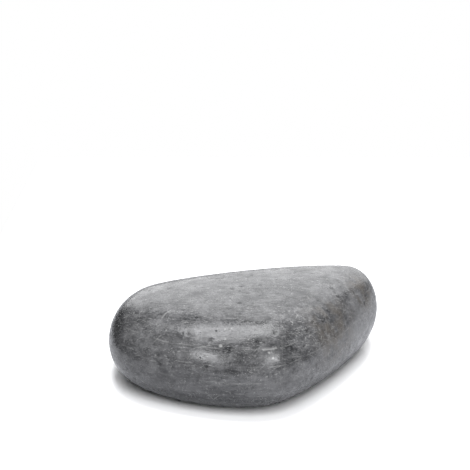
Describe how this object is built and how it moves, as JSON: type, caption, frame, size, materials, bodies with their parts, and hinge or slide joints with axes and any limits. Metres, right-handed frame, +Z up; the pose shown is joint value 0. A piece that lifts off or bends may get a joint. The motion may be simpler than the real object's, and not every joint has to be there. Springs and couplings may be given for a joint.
{
  "type": "massage stone",
  "caption": "Smooth polished basalt pebble with a softly three-cornered plan, a gently domed top and a flat face to rest on, warmed and laid on or stroked over the body.",
  "frame": {"origin": "on the resting face's plane, under the centre of the box around the stone", "axes": "+X along the stone's length towards its narrow end, +Z up from the resting face to the domed top"},
  "size_m": [0.098, 0.073, 0.032],
  "materials": {
    "polished_basalt": "polished and lightly waxed, mid grey with fine pale veins, pits and rubbed scratches"
  },
  "bodies": {
    "root": {"stone": "polished_basalt"}
  },
  "joints": []
}
